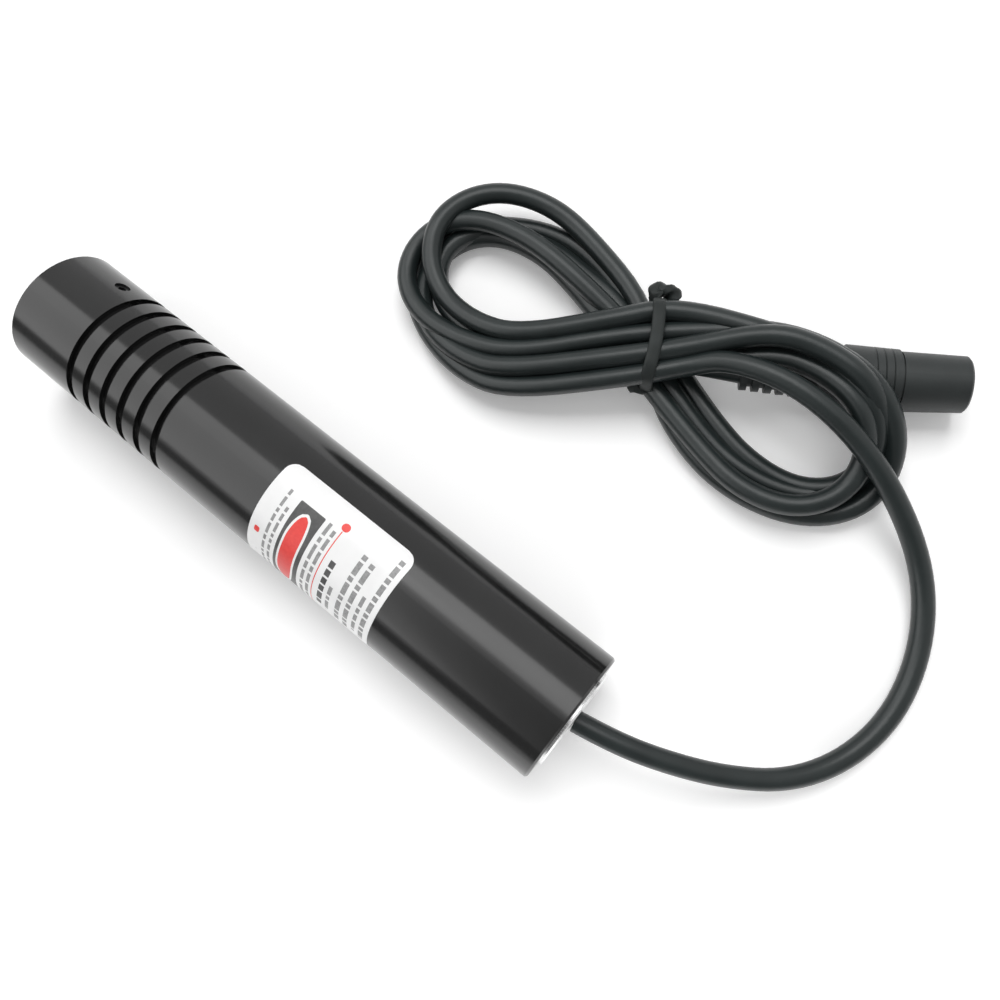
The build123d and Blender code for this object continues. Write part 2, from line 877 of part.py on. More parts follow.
def cord_lead(hank):
    """The free stretch of the lead, trimmed where it meets the hank."""
    points = lead_points()
    radii = lead_radii(points)
    path = FilletPolyline(*points, radius=radii)
    section = Plane(origin=path @ 0, z_dir=path % 0) * Circle(cord_radius)
    lead = sweep(section, path=path)
    expected = pi * cord_radius**2 * path.length
    print("lead radii:", [round(radius, 1) for radius in radii])
    print(f"lead length {path.length:.1f} mm, volume {lead.volume:.1f}, expected {expected:.1f}")
    forward = (Align.MIN, Align.CENTER, Align.CENTER)
    inside = Box(plug_proud, 4 * cord_radius, 4 * cord_radius, align=forward)
    trimmed = lead - hank - Pos(plug_face_x, 0, axis_z) * inside
    return trimmed.solids().sort_by(Axis.Y)[-1]


def save(name, shape):
    """Write one piece to its own file."""
    export_step(shape, os.path.join("parts", name + ".step"))


hank = cord_hank()
pieces = {
    "housing": housing(),
    "grub_screw": grub_screw(),
    "label": label(),
    "optics_holder": optics_holder(),
    "lens_cell": lens_cell(),
    "collimating_lens": collimating_lens(),
    "lens_ring": lens_ring(),
    "focus_spring": focus_spring(),
    "diode_base": diode_base(),
    "diode_cap": diode_cap(),
    "diode_window": diode_window(),
    "diode_pins": diode_pins(),
    "diode_ring": diode_ring(),
    "driver_board": driver_board(),
    "driver_chip": driver_chip(),
    "power_transistor": power_transistor(),
    "capacitors": capacitors(),
    "trimmer": trimmer(),
    "inductor": inductor(),
    "resistors": resistors(),
    "rear_plug": rear_plug(),
    "cord_root": cord_root(),
    "cord_collar": cord_collar(),
    "wire_positive": supply_wire(1),
    "wire_negative": supply_wire(-1),
    "cord_lead": cord_lead(hank),
    "cord_hank": hank,
    "cord_tie": cord_tie(),
    "jack_shell": jack_shell(),
    "jack_insert": jack_insert(),
    "jack_sleeve": jack_sleeve(),
    "jack_pin": jack_pin(),
}
for name, shape in pieces.items():
    save(name, shape)
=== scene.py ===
import json
import math

import bmesh
import bpy
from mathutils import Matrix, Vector


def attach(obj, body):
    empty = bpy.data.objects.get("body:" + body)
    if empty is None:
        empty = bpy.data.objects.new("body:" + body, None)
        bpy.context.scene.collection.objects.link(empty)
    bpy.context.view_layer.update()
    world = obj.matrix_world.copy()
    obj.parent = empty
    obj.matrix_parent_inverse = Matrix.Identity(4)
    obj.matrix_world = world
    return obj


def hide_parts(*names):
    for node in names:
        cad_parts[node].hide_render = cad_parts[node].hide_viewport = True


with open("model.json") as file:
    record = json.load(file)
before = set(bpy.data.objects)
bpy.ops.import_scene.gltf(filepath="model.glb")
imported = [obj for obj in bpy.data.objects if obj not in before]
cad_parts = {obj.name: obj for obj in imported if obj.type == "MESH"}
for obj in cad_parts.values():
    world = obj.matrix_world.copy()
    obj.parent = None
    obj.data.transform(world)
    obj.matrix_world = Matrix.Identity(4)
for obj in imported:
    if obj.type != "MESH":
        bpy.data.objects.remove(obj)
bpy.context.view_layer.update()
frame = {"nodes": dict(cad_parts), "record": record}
nodes = frame["nodes"]

# Lengths are millimetres and angles degrees, apart from the camera's clips, the floor, the room and the
# lamps, which are in metres
MM = 0.001
BARREL_RADIUS = 13.0
# The barrel lies on the floor
AXIS_HEIGHT = BARREL_RADIUS


# Camera: where the photograph was taken from, and how the camera was turned
CAMERA_PLACE = (-68.67, -15.56, 172.45)
CAMERA_TURN = (10.09, 8.65, -141.78)
CAMERA_LENS = 31.58
SENSOR_WIDTH = 36.0


def make_camera():
    data = bpy.data.cameras.new("camera")
    data.sensor_width = SENSOR_WIDTH
    data.lens = CAMERA_LENS
    data.clip_start = 0.01
    data.clip_end = 20.0
    camera = bpy.data.objects.new("camera", data)
    camera.location = Vector(CAMERA_PLACE) * MM
    camera.rotation_euler = [math.radians(angle) for angle in CAMERA_TURN]
    bpy.context.collection.objects.link(camera)
    bpy.context.scene.camera = camera


make_camera()


# The lead and its hank
CORD_RADIUS = 2.05
TIE_X, TIE_Y = -35.35, -64.5
PLUG_FACE = (-67.05, 0.0, AXIS_HEIGHT)
SOCKET_TAIL = (-54.4, -71.5, 6.5)

# Free lead, from the plug to the hank
lead_route = [
    (-74.0, -1.2, 12.7), (-83.0, -3.9, 11.2), (-93.2, -8.2, 8.0), (-102.8, -14.6, 4.8),
    (-109.0, -24.2, 2.5), (-110.9, -35.8, 2.08), (-108.1, -48.0, 2.08), (-101.6, -58.2, 3.4),
    (-91.4, -65.2, 7.6), (-77.7, -70.1, 13.4),
]
onto_hank = [(-62.8, -71.8, 15.4), (-49.8, -69.4, 13.4)]
into_socket = [(-24.4, -69.7, 2.9), (-31.4, -66.0, 2.9), (-38.2, -65.2, 3.6), (-45.7, -67.9, 5.8)]

# Turns toward the head, then toward the socket: middle from the tie, half length, half width, tilt,
# how much wider the turn is away from the tie, and five heights along it
head_turns = [
    (29.5, 7.2, 23.0, 17.7, 7, -0.14, (6.0, 2.1, 2.1, 2.1, 2.2)),
    (31.5, 0.9, 19.5, 14.6, 8, 0.08, (8.4, 6.6, 9.2, 7.6, 5.0)),
    (31.2, 7.2, 22.4, 12.3, 9, 0.24, (7.4, 5.6, 5.0, 7.6, 7.2)),
    (29.0, 8.6, 20.0, 13.8, 2, 0.15, (7.6, 4.4, 2.4, 3.0, 2.4)),
    (27.8, 5.2, 20.2, 12.6, 3, 0.06, (6.0, 3.8, 4.4, 2.4, 2.4)),
]
socket_turns = [
    (-27.0, -4.8, 19.2, 10.6, -3, 0.18, (2.2, 2.1, 5.2, 13.2, 12.8)),
    (-27.5, -2.1, 23.2, 14.7, 5, 0.1, (2.3, 2.1, 4.4, 13.2, 12.2)),
    (-27.0, -3.4, 20.2, 12.0, 5, 0.15, (2.6, 2.6, 3.8, 14.6, 15.2)),
    (-27.5, -0.4, 18.2, 12.3, 1, 0.16, (5.0, 6.2, 8.0, 12.8, 11.4)),
]
TURN_ANGLES = (114, 86, 57, 29, 0, -29, -57, -86, -114)

# Where the cord passes the tie, over and under: offset, height, turn of its heading, and reach either side
over_crossings = [
    (6.0, 10.4, 1, 6.0), (-5.8, 10.8, 2, 6.0), (-2.0, 9.6, -6, 6.0), (2.5, 11.4, -2, 6.0),
    (4.0, 7.8, -10, 6.0),
]
under_crossings = [(-3.2, 2.2, 2, 6.0), (-0.8, 3.4, -27, 9.0), (0.4, 4.2, 1, 6.0), (3.8, 5.6, 1, 6.0)]
OVER_HEADING = 45.0
UNDER_HEADING = -22.0


def between(values, share):
    """A value at a share of the way along a row of evenly spaced values."""
    place = share * (len(values) - 1)
    first = min(int(place), len(values) - 2)
    return values[first] + (values[first + 1] - values[first]) * (place - first)


def turn_points(side, turn):
    """One turn of the hank, as points of the cord's own spline, from the branch nearer the barrel."""
    across_x, across_y, reach, half_width, tilt, egg, heights = turn
    cos_tilt, sin_tilt = math.cos(math.radians(tilt)), math.sin(math.radians(tilt))
    points = []
    for number, degrees in enumerate(TURN_ANGLES):
        angle = math.radians(degrees)
        along = side * reach * math.cos(angle)
        wide = half_width * math.sin(angle) * (1 + egg * math.cos(angle))
        points.append((
            TIE_X + across_x + cos_tilt * along - sin_tilt * wide,
            TIE_Y + across_y + sin_tilt * along + cos_tilt * wide,
            between(heights, number / (len(TURN_ANGLES) - 1)),
        ))
    return points


def crossing_points(heading, crossing):
    """Two points either side of the tie, where the cord passes through it."""
    offset, height, turned, reach = crossing
    normal = math.radians(heading + 90)
    angle = math.radians(heading + turned)
    middle_x = TIE_X + offset * math.cos(normal)
    middle_y = TIE_Y + offset * math.sin(normal)
    step_x, step_y = reach * math.cos(angle), reach * math.sin(angle)
    return [(middle_x - step_x, middle_y - step_y, height), (middle_x + step_x, middle_y + step_y, height)]


def cord_points():
    """The whole lead: plug, free stretch, turns to either side of the tie in order, and socket."""
    points = [PLUG_FACE] + lead_route + onto_hank
    for number, turn in enumerate(head_turns):
        points += crossing_points(OVER_HEADING, over_crossings[number])
        points += turn_points(1, turn)
        if number < len(socket_turns):
            points += crossing_points(UNDER_HEADING, under_crossings[number])[::-1]
            points += turn_points(-1, socket_turns[number])
    return points + into_socket + [SOCKET_TAIL]


def nurbs(name, points, radius, material):
    """A round cord on one open NURBS spline, with points in millimetres."""
    data = bpy.data.curves.new(name, "CURVE")
    data.dimensions = "3D"
    data.resolution_u = 6
    data.bevel_depth = radius * MM
    data.bevel_resolution = 5
    data.use_fill_caps = True
    spline = data.splines.new("NURBS")
    spline.points.add(len(points) - 1)
    for point, place in zip(spline.points, points):
        point.co = (place[0] * MM, place[1] * MM, place[2] * MM, 1.0)
    spline.order_u = 3
    spline.use_endpoint_u = True
    piece = bpy.data.objects.new(name, data)
    bpy.context.collection.objects.link(piece)
    data.materials.append(material)
    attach(piece, "root")
    return piece


def spline_length(piece):
    """The length of a cord's own line in metres, read from its spline with no bevel."""
    bare = piece.copy()
    bare.data = piece.data.copy()
    bare.data.bevel_depth = 0.0
    mesh = bpy.data.meshes.new_from_object(bare)
    total = 0.0
    for edge in mesh.edges:
        first, second = edge.vertices
        total += (mesh.vertices[first].co - mesh.vertices[second].co).length
    bpy.data.objects.remove(bare)
    return total


# Materials
finishes = {}


def new_material(name):
    """The node tree and the shader of a new material, which finishes keeps under its name."""
    material = bpy.data.materials.new(name)
    material.use_nodes = True
    finishes[name] = material
    return material.node_tree, material.node_tree.nodes["Principled BSDF"]


def object_space(tree, scale=(1.0, 1.0, 1.0)):
    """Object coordinates in millimetres, stretched by scale."""
    place = tree.nodes.new("ShaderNodeTexCoord")
    mapping = tree.nodes.new("ShaderNodeMapping")
    mapping.inputs["Scale"].default_value = [value / MM for value in scale]
    tree.links.new(place.outputs["Object"], mapping.inputs["Vector"])
    return mapping.outputs["Vector"]


def grain(tree, vector, size, detail=3.0):
    """Noise whose features are about size millimetres across."""
    texture = tree.nodes.new("ShaderNodeTexNoise")
    texture.inputs["Scale"].default_value = 1.0 / size
    texture.inputs["Detail"].default_value = detail
    tree.links.new(vector, texture.inputs["Vector"])
    return texture.outputs["Fac"]


def grey(value):
    return (value, value, value, 1.0)


def bump(tree, shader, height, depth, before=None):
    """Relief of a depth in millimetres."""
    node = tree.nodes.new("ShaderNodeBump")
    node.inputs["Distance"].default_value = depth * MM
    tree.links.new(height, node.inputs["Height"])
    if before is not None:
        tree.links.new(before, node.inputs["Normal"])
    tree.links.new(node.outputs["Normal"], shader.inputs["Normal"])
    return node.outputs["Normal"]


def varied_colour(tree, shader, fac, dark, light):
    """A base colour that goes from dark to light with the middle of the noise's range."""
    ramp = tree.nodes.new("ShaderNodeValToRGB")
    first, last = ramp.color_ramp.elements[0], ramp.color_ramp.elements[1]
    first.position, last.position = 0.3, 0.7
    first.color, last.color = dark, light
    tree.links.new(fac, ramp.inputs["Fac"])
    tree.links.new(ramp.outputs["Color"], shader.inputs["Base Color"])


def varied_roughness(tree, shader, fac, low, high):
    """A roughness that goes from low to high with the noise."""
    spread = tree.nodes.new("ShaderNodeMapRange")
    spread.inputs["To Min"].default_value = low
    spread.inputs["To Max"].default_value = high
    tree.links.new(fac, spread.inputs["Value"])
    tree.links.new(spread.outputs["Result"], shader.inputs["Roughness"])


def anodised(name, dark, light, low, high, turning=True):
    """Dyed anodised metal: near black under a clear, faintly streaked satin surface."""
    tree, shader = new_material(name)
    broad = grain(tree, object_space(tree), 9.0, 4.0)
    varied_colour(tree, shader, broad, dark, light)
    streaked = object_space(tree, (1.0, 0.08, 0.08)) if turning else object_space(tree)
    fine = grain(tree, streaked, 0.16, 2.0)
    varied_roughness(tree, shader, fine, low, high)
    lines = bump(tree, shader, fine, 0.0012)
    bump(tree, shader, grain(tree, object_space(tree), 0.06, 2.0), 0.0008, before=lines)
    shader.inputs["IOR"].default_value = 1.55


def metal(name, dark, light, low, high, streak=(1.0, 1.0, 1.0)):
    """Bare or plated metal with a fine machined streak."""
    tree, shader = new_material(name)
    fac = grain(tree, object_space(tree, streak), 0.2)
    varied_colour(tree, shader, fac, dark, light)
    varied_roughness(tree, shader, fac, low, high)
    bump(tree, shader, fac, 0.002)
    shader.inputs["Metallic"].default_value = 1.0


def turned_metal(name, dark, light, low, high):
    """Metal faced on a lathe: rings round the barrel's axis."""
    tree, shader = new_material(name)
    place = tree.nodes.new("ShaderNodeTexCoord")
    shift = tree.nodes.new("ShaderNodeMapping")
    shift.inputs["Location"].default_value = (0.0, 0.0, -AXIS_HEIGHT)
    shift.inputs["Scale"].default_value = (0.0, 1.0 / MM, 1.0 / MM)
    tree.links.new(place.outputs["Object"], shift.inputs["Vector"])
    length = tree.nodes.new("ShaderNodeVectorMath")
    length.operation = "LENGTH"
    tree.links.new(shift.outputs["Vector"], length.inputs[0])
    rings = tree.nodes.new("ShaderNodeTexNoise")
    rings.noise_dimensions = "1D"
    rings.inputs["Scale"].default_value = 6.0
    rings.inputs["Detail"].default_value = 3.0
    tree.links.new(length.outputs["Value"], rings.inputs["W"])
    fac = rings.outputs["Fac"]
    varied_colour(tree, shader, fac, dark, light)
    varied_roughness(tree, shader, fac, low, high)
    bump(tree, shader, fac, 0.006)
    shader.inputs["Metallic"].default_value = 1.0


def vinyl(name, dark, light, low, high, size=0.5, depth=0.01):
    """Moulded or extruded vinyl: soft low waves and a fine tooth."""
    tree, shader = new_material(name)
    varied_colour(tree, shader, grain(tree, object_space(tree), 6.0), dark, light)
    waves = grain(tree, object_space(tree), size, 2.0)
    varied_roughness(tree, shader, waves, low, high)
    soft = bump(tree, shader, waves, depth)
    bump(tree, shader, grain(tree, object_space(tree), 0.09, 2.0), 0.003, before=soft)


def plain(name, dark, light, roughness, size=1.0, depth=0.004):
    """Printed, painted or moulded surface with a slight mottle."""
    tree, shader = new_material(name)
    fac = grain(tree, object_space(tree), size)
    varied_colour(tree, shader, fac, dark, light)
    varied_roughness(tree, shader, fac, roughness - 0.05, roughness + 0.05)
    bump(tree, shader, fac, depth)


def glass(name):
    """Clear coated glass with a trace of haze."""
    tree, shader = new_material(name)
    fac = grain(tree, object_space(tree), 0.8, 2.0)
    varied_roughness(tree, shader, fac, 0.01, 0.05)
    shader.inputs["Base Color"].default_value = (0.93, 0.95, 1.0, 1.0)
    shader.inputs["Transmission Weight"].default_value = 1.0
    shader.inputs["IOR"].default_value = 1.52


def board(name):
    """Green solder mask over faint copper tracks."""
    tree, shader = new_material(name)
    tracks = tree.nodes.new("ShaderNodeTexBrick")
    tracks.inputs["Scale"].default_value = 0.35
    tracks.inputs["Mortar Size"].default_value = 0.06
    tracks.inputs["Color1"].default_value = (0.012, 0.11, 0.04, 1.0)
    tracks.inputs["Color2"].default_value = (0.014, 0.13, 0.05, 1.0)
    tracks.inputs["Mortar"].default_value = (0.05, 0.22, 0.09, 1.0)
    tree.links.new(object_space(tree), tracks.inputs["Vector"])
    tree.links.new(tracks.outputs["Color"], shader.inputs["Base Color"])
    bump(tree, shader, tracks.outputs["Fac"], 0.02)
    shader.inputs["Roughness"].default_value = 0.3


# Each finish's name, darkest and lightest colour and roughness, then any size and depth of its relief
anodised("black_anodised", grey(0.006), grey(0.009), 0.13, 0.2)
anodised("black_steel", grey(0.008), grey(0.014), 0.25, 0.38, turning=False)
turned_metal("bare_aluminium", grey(0.72), grey(0.86), 0.2, 0.34)
metal("brass", (0.62, 0.43, 0.18, 1.0), (0.72, 0.53, 0.24, 1.0), 0.2, 0.34, streak=(0.1, 1.0, 1.0))
metal("spring_steel", grey(0.5), grey(0.64), 0.18, 0.32)
metal("gold_plate", (0.78, 0.55, 0.22, 1.0), (0.86, 0.64, 0.3, 1.0), 0.2, 0.3)
glass("lens_glass")
board("board_green")
plain("chip_black", grey(0.012), grey(0.02), 0.5, 0.3)
plain("trimmer_blue", (0.03, 0.08, 0.3, 1.0), (0.04, 0.1, 0.36, 1.0), 0.4)
plain("socket_black", grey(0.012), grey(0.016), 0.4)
vinyl("wire_red", (0.38, 0.02, 0.015, 1.0), (0.46, 0.03, 0.02, 1.0), 0.35, 0.45)
vinyl("wire_black", grey(0.012), grey(0.02), 0.35, 0.45)
vinyl("cord_pvc", (0.011, 0.0155, 0.0155, 1.0), (0.015, 0.0205, 0.0205, 1.0), 0.3, 0.38, 0.8, 0.02)
vinyl("tie_pvc", (0.012, 0.015, 0.0145, 1.0), (0.016, 0.02, 0.0195, 1.0), 0.46, 0.56, 0.5, 0.02)
vinyl("moulded_pvc", (0.015, 0.0185, 0.0185, 1.0), (0.0195, 0.0235, 0.0235, 1.0), 0.42, 0.52, 0.25, 0.012)
plain("label_film", grey(0.84), grey(0.88), 0.3, 4.0, 0.003)
plain("print_dark", grey(0.05), grey(0.075), 0.35, 0.6, 0.001)
plain("print_grey", grey(0.22), grey(0.34), 0.4, 0.4, 0.001)
plain("print_red", (0.72, 0.045, 0.04, 1.0), (0.78, 0.06, 0.05, 1.0), 0.35, 0.6, 0.001)
# The tie is duller than the lead
tie_shader = finishes["tie_pvc"].node_tree.nodes["Principled BSDF"]
tie_shader.inputs["Specular IOR Level"].default_value = 0.32

for part in frame["record"]["subparts"]:
    for place in nodes[part["node"]].material_slots:
        place.material = finishes[part["material_slot"]]


# Cord
cord = nurbs("lead", cord_points(), CORD_RADIUS, finishes["cord_pvc"])
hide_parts("cord_lead", "cord_hank")


def finished_piece(name, mesh, material):
    """A smooth-shaded object on the root body, from a bmesh that isn't needed afterwards."""
    data = bpy.data.meshes.new(name)
    mesh.to_mesh(data)
    mesh.free()
    for face in data.polygons:
        face.use_smooth = True
    data.materials.append(material)
    piece = bpy.data.objects.new(name, data)
    bpy.context.collection.objects.link(piece)
    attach(piece, "root")
    return piece


# Label film and its print, on the barrel: places along it, and angles from its top toward +Y
LABEL_FRONT = 0.25
LABEL_LENGTH = 29.9
LABEL_START = -27.0
LABEL_WRAP = 137.0
LABEL_CORNER = 2.4
# Film and print together are no thicker than the CAD's label
GLUE_DEPTH = 0.01
FILM_DEPTH = 0.06
PRINT_LIFT = 0.01
LAYER = 0.004
FILM_RADIUS = BARREL_RADIUS + GLUE_DEPTH + FILM_DEPTH
PRINT_RADIUS = FILM_RADIUS + PRINT_LIFT
# How far apart a field's points are round the barrel, and where more of them shape its bowed ends
ARC_STEP = 2.5
BOW_SHARES = (0.1, 0.25, 0.45, 0.7)


def on_barrel(x, degrees, radius):
    angle = math.radians(degrees)
    return (x * MM, radius * math.sin(angle) * MM, (AXIS_HEIGHT + radius * math.cos(angle)) * MM)


def patch(mesh, front, rear, start, end, radius, corner=0.0, bow=None):
    """A thin field between two places and two angles.

    At either end its sides close in by corner, over a length of bow, which is the same if not given.
    """
    bow_angle = math.degrees((corner if bow is None else bow) / radius)
    steps = max(2, int((end - start) / ARC_STEP))
    angles = {start + (end - start) * step / steps for step in range(steps + 1)}
    if corner:
        angles |= {start + bow_angle * share for share in BOW_SHARES}
        angles |= {end - bow_angle * share for share in BOW_SHARES}
    rows = []
    for angle in sorted(angles):
        inset = 0.0
        from_end = max(0.0, min(angle - start, end - angle))
        if corner and from_end < bow_angle:
            inset = corner * (1 - math.sqrt(1 - (1 - from_end / bow_angle) ** 2))
        rows.append([
            mesh.verts.new(on_barrel(front - inset, angle, radius)),
            mesh.verts.new(on_barrel(rear + inset, angle, radius)),
        ])
    for low, high in zip(rows, rows[1:]):
        mesh.faces.new((low[0], low[1], high[1], high[0]))


def add_edges(mesh, depth, radius):
    """Sharp walls from the rim of a field inward, by a depth."""
    rim = [edge for edge in mesh.edges if edge.is_boundary]
    for edge in rim:
        edge.smooth = False
    share = 1 - depth / radius
    for corner in bmesh.ops.extrude_edge_only(mesh, edges=rim)["geom"]:
        if isinstance(corner, bmesh.types.BMVert):
            corner.co.y *= share
            corner.co.z = AXIS_HEIGHT * MM + (corner.co.z - AXIS_HEIGHT * MM) * share


def print_piece(name, fields, radius, material, depth=0.0):
    """One piece from fields of one colour, each (front, rear, start angle, end angle, corner, bow)."""
    mesh = bmesh.new()
    for field in fields:
        patch(mesh, *field[:4], radius, *field[4:])
    bmesh.ops.recalc_face_normals(mesh, faces=mesh.faces)
    if depth:
        add_edges(mesh, depth, radius)
    return finished_piece(name, mesh, material)


def dashes(middle, width, start, end, lengths, gap):
    """A row of short marks round the barrel, with the given lengths in degrees, over and over."""
    fields, angle, number = [], start, 0
    while angle < end:
        length = lengths[number % len(lengths)]
        fields.append((middle + width / 2, middle - width / 2, angle, min(angle + length, end)))
        angle += length + gap
        number += 1
    return fields


film_fields = [
    (LABEL_FRONT, LABEL_FRONT - LABEL_LENGTH, LABEL_START, LABEL_START + LABEL_WRAP, LABEL_CORNER),
]
dark_fields = [(-6.3, -12.2, -5.5, 84.0, 0.3)]
dark_fields += dashes(-17.95, 1.15, 16.5, 66.0, (6.2, 6.2, 6.2, 6.2, 9.0), 2.0)
rim_fields = [(-7.0, -11.2, 0.5, 78.0, 1.9, 5.5)]
red_fields = [
    (-7.45, -10.75, 3.0, 76.0, 1.5, 5.5), (-1.0, -2.2, 36.0, 41.5, 0.3), (-15.2, -16.9, -13.5, -6.5, 0.8),
]
red_line = [(-15.85, -16.05, -6.0, 92.0)]
# Rows of grey marks: middle, width, start and end angle, lengths, gap
mark_rows = [
    (-3.7, 0.62, -7.0, 96.0, (5.0, 8.5, 3.6, 6.4, 10.2), 2.2),
    (-5.1, 0.62, 6.0, 96.0, (4.2, 6.4, 9.0, 3.4), 2.2),
    (-13.45, 0.72, -5.5, 94.0, (11.0, 4.5, 14.0, 7.0), 2.4),
    (-14.85, 0.72, -2.5, 94.0, (5.5, 10.0, 12.0), 2.4),
    (-19.8, 0.8, 36.0, 68.0, (9.0, 4.0, 12.0), 2.2),
    (-22.2, 1.05, -3.0, 70.0, (4.2, 11.5), 2.0),
    (-24.2, 1.05, -1.0, 72.0, (4.2, 11.5), 2.0),
    (-26.2, 0.8, 23.0, 66.0, (10.0, 5.0, 7.0), 2.2),
    (-28.0, 1.05, -17.5, 70.0, (4.2, 9.0), 2.0),
]
grey_fields = [field for row in mark_rows for field in dashes(*row)]
film = print_piece("label_sheet", film_fields, FILM_RADIUS, finishes["label_film"], FILM_DEPTH)
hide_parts("label")
print_piece("label_fields_dark", dark_fields, PRINT_RADIUS, finishes["print_dark"])
print_piece("label_marks", grey_fields, PRINT_RADIUS, finishes["print_grey"])
print_piece("label_line", red_line, PRINT_RADIUS, finishes["print_red"])
print_piece("label_field_rim", rim_fields, PRINT_RADIUS + LAYER, finishes["label_film"])
print_piece("label_fields_red", red_fields, PRINT_RADIUS + 2 * LAYER, finishes["print_red"])


# Tie
TIE_ANGLE = math.radians(18.4)
STRAP_SECTION = (2.5, 0.75)
TWIST_SECTION = (3.1, 2.4)
END_SECTION = (1.8, 0.7)
LINE_STEPS = 6
RING_POINTS = 14
# How square a strip's section is, across and through: 1 would be an ellipse, and less is squarer
EDGE_POWERS = (0.5, 0.6)


def tie_place(along, across, height):
    """A place near the tie, from distances along the hank, across it and above the floor."""
    return Vector((
        (TIE_X + along * math.cos(TIE_ANGLE) - across * math.sin(TIE_ANGLE)) * MM,
        (TIE_Y + along * math.sin(TIE_ANGLE) + across * math.cos(TIE_ANGLE)) * MM,
        height * MM,
    ))


def smooth_line(places, closed=False):
    """Points on a smooth line through places near the tie."""
    points = [tie_place(*place) for place in places]
    count, line = len(points), []
    spans = count if closed else count - 1
    for span in range(spans):
        if closed:
            a, b, c, d = (points[(span + shift) % count] for shift in (-1, 0, 1, 2))
        else:
            a, b, c, d = (points[min(max(span + shift, 0), count - 1)] for shift in (-1, 0, 1, 2))
        for step in range(LINE_STEPS):
            t = step / LINE_STEPS
            line.append(0.5 * ((2 * b) + (c - a) * t + (2 * a - 5 * b + 4 * c - d) * t * t
                               + (3 * b - 3 * c + d - a) * t ** 3))
    if not closed:
        line.append(points[-1].copy())
    return line


def squared(value, power):
    """A sine or cosine pushed toward 1 or -1, which squares an ellipse off."""
    return math.copysign(abs(value) ** power, value)


def strip(name, line, section, face_way, closed=False, twist=0.0):
    """A strip with rounded edges along a line: face_way gives the way its broad face looks."""
    mesh = bmesh.new()
    rings, count = [], len(line)
    for number, place in enumerate(line):
        before = line[number - 1] if number or closed else line[0]
        after = line[(number + 1) % count] if number < count - 1 or closed else line[-1]
        ahead = (after - before).normalized()
        side = ahead.cross(face_way(place)).normalized()
        face = side.cross(ahead).normalized()
        turn = math.radians(twist) * number / (count - 1)
        cos_turn, sin_turn = math.cos(turn), math.sin(turn)
        side, face = side * cos_turn + face * sin_turn, face * cos_turn - side * sin_turn
        ring = []
        for step in range(RING_POINTS):
            angle = 2 * math.pi * step / RING_POINTS
            wide = squared(math.cos(angle), EDGE_POWERS[0]) * section[0] / 2 * MM
            thick = squared(math.sin(angle), EDGE_POWERS[1]) * section[1] / 2 * MM
            ring.append(mesh.verts.new(place + side * wide + face * thick))
        rings.append(ring)
    pairs = list(zip(rings, rings[1:])) + ([(rings[-1], rings[0])] if closed else [])
    for low, high in pairs:
        for step in range(RING_POINTS):
            following = (step + 1) % RING_POINTS
            mesh.faces.new((low[step], low[following], high[following], high[step]))
    if not closed:
        mesh.faces.new(rings[0][::-1])
        mesh.faces.new(rings[-1])
    bmesh.ops.recalc_face_normals(mesh, faces=mesh.faces)
    return finished_piece(name, mesh, finishes["tie_pvc"])


def upward(place):
    return Vector((0.0, 0.0, 1.0))


# (along, across, height) of the strap's own middle line, right round the bundle
strap_line = smooth_line([
    (0.7, -8.6, 8.4), (0.6, -8.5, 10.8), (0.3, -7.2, 12.6), (-0.4, -4.8, 13.4), (-1.0, -2.2, 13.5),
    (-1.5, 0.6, 13.8), (-1.8, 3.2, 13.4), (-1.9, 5.4, 12.9), (-2.0, 7.3, 11.6), (-2.1, 8.1, 9.2),
    (-2.0, 8.2, 6.0), (-1.7, 7.6, 2.6), (-1.2, 5.6, 0.7), (-0.4, 1.0, 0.45), (0.2, -3.5, 0.45),
    (0.6, -6.8, 1.2), (0.7, -8.4, 4.4),
], closed=True)
twist_line = smooth_line([
    (0.8, -9.0, 9.8), (1.8, -9.4, 9.8), (2.0, -10.4, 9.6), (1.2, -11.1, 9.3), (-0.1, -11.2, 9.0),
    (-1.2, -11.1, 8.6), (-2.2, -10.7, 8.0),
])
end_line = smooth_line([(-2.0, 8.0, 6.8), (-1.1, 8.6, 7.6), (0.0, 8.8, 8.0), (1.0, 9.2, 7.6)])
strap_middle = sum(strap_line, Vector()) / len(strap_line)
tie = strip("tie_strap", strap_line, STRAP_SECTION, lambda place: place - strap_middle, closed=True)
twist = strip("tie_twist", twist_line, TWIST_SECTION, upward, twist=420)
tie_end = strip("tie_end", end_line, END_SECTION, upward, twist=60)
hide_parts("cord_tie")


# The length of the lead's own line, which is computed and not kept
spline_length(cord)


# Floor, room and lamps, in metres
FLOOR_HALF = 3.0
FLOOR_GLOW = 0.17
ROOM_LEVEL = 0.5
ROOM_DIM = 0.22
ROOM_BRIGHT = 0.8
PANEL_HEIGHT = 0.5
# The side panels overlap, each a step above the last, from one low y and up to one high x
PANEL_STEP = 0.002
SIDE_LOW_Y = -0.17
SIDE_HIGH_X = 1.2


def ray_share(tree, *kinds):
    """1 for the given kinds of ray, 0 for the rest."""
    path = tree.nodes.new("ShaderNodeLightPath")
    total = path.outputs[kinds[0]]
    for kind in kinds[1:]:
        either = tree.nodes.new("ShaderNodeMath")
        either.operation = "MAXIMUM"
        tree.links.new(total, either.inputs[0])
        tree.links.new(path.outputs[kind], either.inputs[1])
        total = either.outputs["Value"]
    return total


def by_ray(tree, share, otherwise, value):
    """One strength where share is 1, and another where it is 0."""
    choice = tree.nodes.new("ShaderNodeMix")
    tree.links.new(share, choice.inputs["Factor"])
    for socket, given in (("A", otherwise), ("B", value)):
        if isinstance(given, float):
            choice.inputs[socket].default_value = given
        else:
            tree.links.new(given, choice.inputs[socket])
    return choice.outputs["Result"]


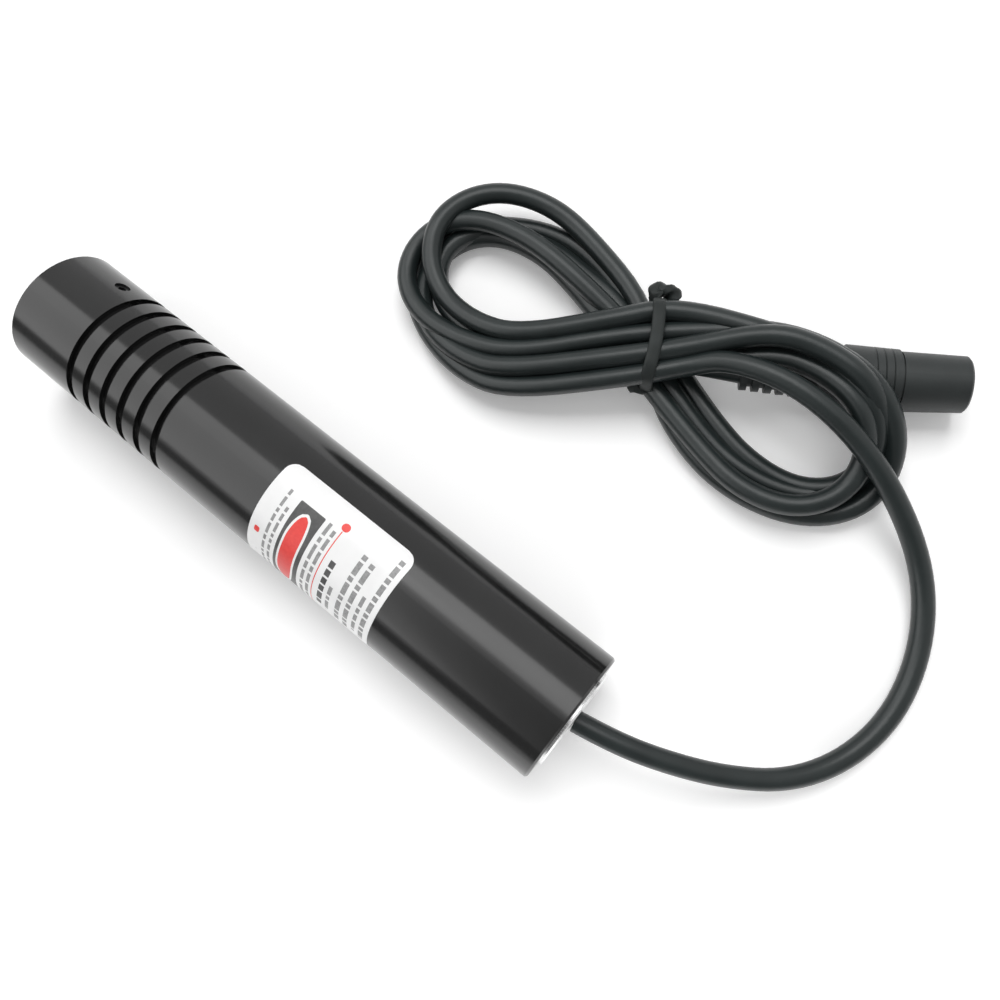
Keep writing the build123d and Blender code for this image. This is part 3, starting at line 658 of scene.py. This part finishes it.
def floor():
    """A white floor that keeps the object's shadow, and glows a little where it is seen."""
    mesh = bpy.data.meshes.new("floor")
    low, high = -FLOOR_HALF, FLOOR_HALF
    mesh.from_pydata([(low, low, 0), (high, low, 0), (high, high, 0), (low, high, 0)], [], [(0, 1, 2, 3)])
    tree, shader = new_material("floor_white")
    fac = grain(tree, object_space(tree), 30.0, 2.0)
    varied_colour(tree, shader, fac, grey(0.93), grey(0.95))
    shader.inputs["Roughness"].default_value = 0.9
    shader.inputs["Specular IOR Level"].default_value = 0.0
    shader.inputs["Emission Color"].default_value = grey(1.0)
    seen = ray_share(tree, "Is Camera Ray", "Is Glossy Ray", "Is Transmission Ray")
    tree.links.new(by_ray(tree, seen, 0.0, FLOOR_GLOW), shader.inputs["Emission Strength"])
    mesh.materials.append(finishes["floor_white"])
    piece = bpy.data.objects.new("floor", mesh)
    bpy.context.collection.objects.link(piece)


def room_light():
    """A white room: even light on every surface, and, for gloss, a bright side and a dim one."""
    world = bpy.data.worlds.new("studio")
    world.use_nodes = True
    tree = world.node_tree
    background = tree.nodes["Background"]
    background.inputs["Color"].default_value = grey(1.0)
    place = tree.nodes.new("ShaderNodeTexCoord")
    parts = tree.nodes.new("ShaderNodeSeparateXYZ")
    tree.links.new(place.outputs["Generated"], parts.inputs["Vector"])
    sides = tree.nodes.new("ShaderNodeMapRange")
    sides.inputs["From Min"].default_value = 0.3
    sides.inputs["From Max"].default_value = -0.4
    sides.inputs["To Min"].default_value = ROOM_DIM
    sides.inputs["To Max"].default_value = ROOM_BRIGHT
    tree.links.new(parts.outputs["Y"], sides.inputs["Value"])
    strength = by_ray(tree, ray_share(tree, "Is Glossy Ray"), ROOM_LEVEL, sides.outputs["Result"])
    seen = ray_share(tree, "Is Camera Ray", "Is Transmission Ray")
    tree.links.new(by_ray(tree, seen, strength, 1.0), background.inputs["Strength"])
    bpy.context.scene.world = world


def panel(name, place, aim, size, power):
    """A soft rectangular lamp of size at place, facing aim."""
    data = bpy.data.lights.new(name, "AREA")
    data.shape = "RECTANGLE"
    data.size, data.size_y = size
    data.energy = power
    lamp = bpy.data.objects.new(name, data)
    lamp.location = place
    lamp.rotation_euler = (Vector(aim) - Vector(place)).to_track_quat("-Z", "Y").to_euler()
    bpy.context.collection.objects.link(lamp)
    return lamp


def mirrored_panel(name, low, high, level, height=PANEL_HEIGHT):
    """A panel over the floor between two corners, which only gloss sees, at the given level."""
    size = (high[0] - low[0], high[1] - low[1])
    middle = ((low[0] + high[0]) / 2, (low[1] + high[1]) / 2)
    lamp = panel(name, (*middle, height), (*middle, 0.0), size, level * math.pi * size[0] * size[1])
    lamp.visible_diffuse = False


floor()
room_light()
# The sky stands beyond the photograph's top, and the fill clears the shadow at the barrel's rear end
sky = panel("sky", place=(0.17, -0.38, 0.75), aim=(-0.03, -0.03, 0.0), size=(0.5, 0.5), power=4.7)
sky.visible_glossy = False
fill = panel("fill", place=(-0.13, 0.09, 0.045), aim=(-0.07, 0.025, 0.0), size=(0.1, 0.06), power=0.07)
fill.visible_glossy = False
fill.visible_camera = False
# What the barrel mirrors: the key, and side panels of (low x, high y, level), whose levels add up
mirrored_panel("key", low=(-0.1, -0.38), high=(0.19, -0.04), level=2.4)
side_panels = ((-0.06, 1.2, 0.31), (0.03, 1.2, 0.33), (0.1, 1.2, 0.54), (0.2, 1.7, 0.6))
for number, (low_x, high_y, level) in enumerate(side_panels):
    height = PANEL_HEIGHT + PANEL_STEP * number
    mirrored_panel(f"side_{number}", (low_x, SIDE_LOW_Y), (SIDE_HIGH_X, high_y), level, height)
bpy.context.scene.view_settings.view_transform = "Standard"
